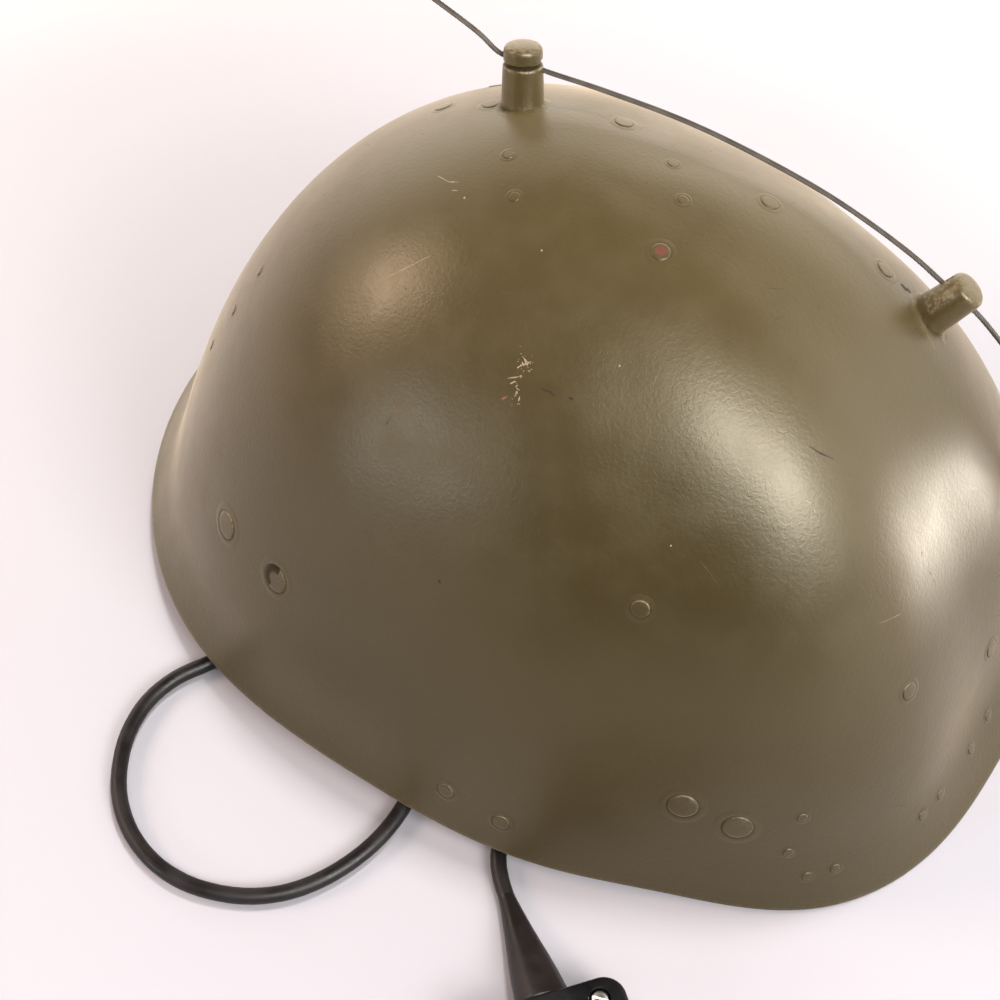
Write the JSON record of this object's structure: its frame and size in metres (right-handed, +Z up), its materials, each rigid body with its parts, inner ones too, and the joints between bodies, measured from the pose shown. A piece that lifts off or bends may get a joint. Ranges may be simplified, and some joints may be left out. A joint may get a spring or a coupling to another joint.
{
  "type": "radio operator helmet",
  "caption": "Deep drawn steel helmet with a flared rim, flush rivets, an antenna wire on posts and a loose cable that ends in a strain relief and switch box.",
  "frame": {"origin": "on the surface it stands on, under the middle of the helmet's length and width", "axes": "+X to the front, the flat flared end; +Y to the wearer's left, the side with the antenna; +Z up"},
  "size_m": [0.2872, 0.3004, 0.1781],
  "materials": {
    "shell_paint": "worn satin olive drab",
    "rivet_paint": "worn satin olive drab",
    "post_paint": "worn, rubbed edges",
    "wire_steel": "dull",
    "black_rubber": "satin",
    "black_plastic": "satin",
    "screw_steel": "bright"
  },
  "bodies": {
    "root": {"shell": "shell_paint", "antenna_post_rear": "post_paint", "antenna_post_front": "post_paint", "antenna_anchor": "post_paint", "antenna_wire": "wire_steel", "cable_gland": "black_plastic", "cable": "black_rubber", "strain_relief": "black_rubber", "switch_box": "black_plastic", "box_screw": "screw_steel", "rivet_rear_pair_right_1": "rivet_paint", "rivet_rear_pair_left_1": "rivet_paint", "rivet_rear_pair_right_2": "rivet_paint", "rivet_rear_pair_left_2": "rivet_paint", "rivet_front_pair_right_1": "rivet_paint", "rivet_front_pair_left_1": "rivet_paint", "rivet_front_pair_right_2": "rivet_paint", "rivet_front_pair_left_2": "rivet_paint", "rivet_dome_right": "rivet_paint", "rivet_dome_left": "rivet_paint", "rivet_side_low_right_1": "rivet_paint", "rivet_side_low_left_1": "rivet_paint", "rivet_side_low_right_2": "rivet_paint", "rivet_side_low_left_2": "rivet_paint", "rivet_brow_right": "rivet_paint", "rivet_brow_middle": "rivet_paint", "rivet_crown_left_1": "rivet_paint", "rivet_crown_left_2": "rivet_paint", "rivet_crown_primer": "rivet_paint", "rivet_crown_rear_1": "rivet_paint", "rivet_crown_rear_2": "rivet_paint", "rivet_post_side": "rivet_paint", "rivet_crown_rear_3": "rivet_paint", "rivet_cheek_right_1": "rivet_paint", "rivet_cheek_right_2": "rivet_paint", "rivet_flare_right_1": "rivet_paint", "rivet_flare_right_2": "rivet_paint", "rivet_flare_front_1": "rivet_paint", "rivet_flare_front_2": "rivet_paint", "rivet_flare_front_3": "rivet_paint", "rivet_flare_front_4": "rivet_paint", "rivet_crown_small_1": "rivet_paint", "rivet_crown_small_2": "rivet_paint", "rivet_crown_small_3": "rivet_paint", "rivet_crown_small_4": "rivet_paint", "rivet_rear_small_1": "rivet_paint", "rivet_rear_small_2": "rivet_paint", "rivet_rear_small_3": "rivet_paint"}
  },
  "joints": []
}
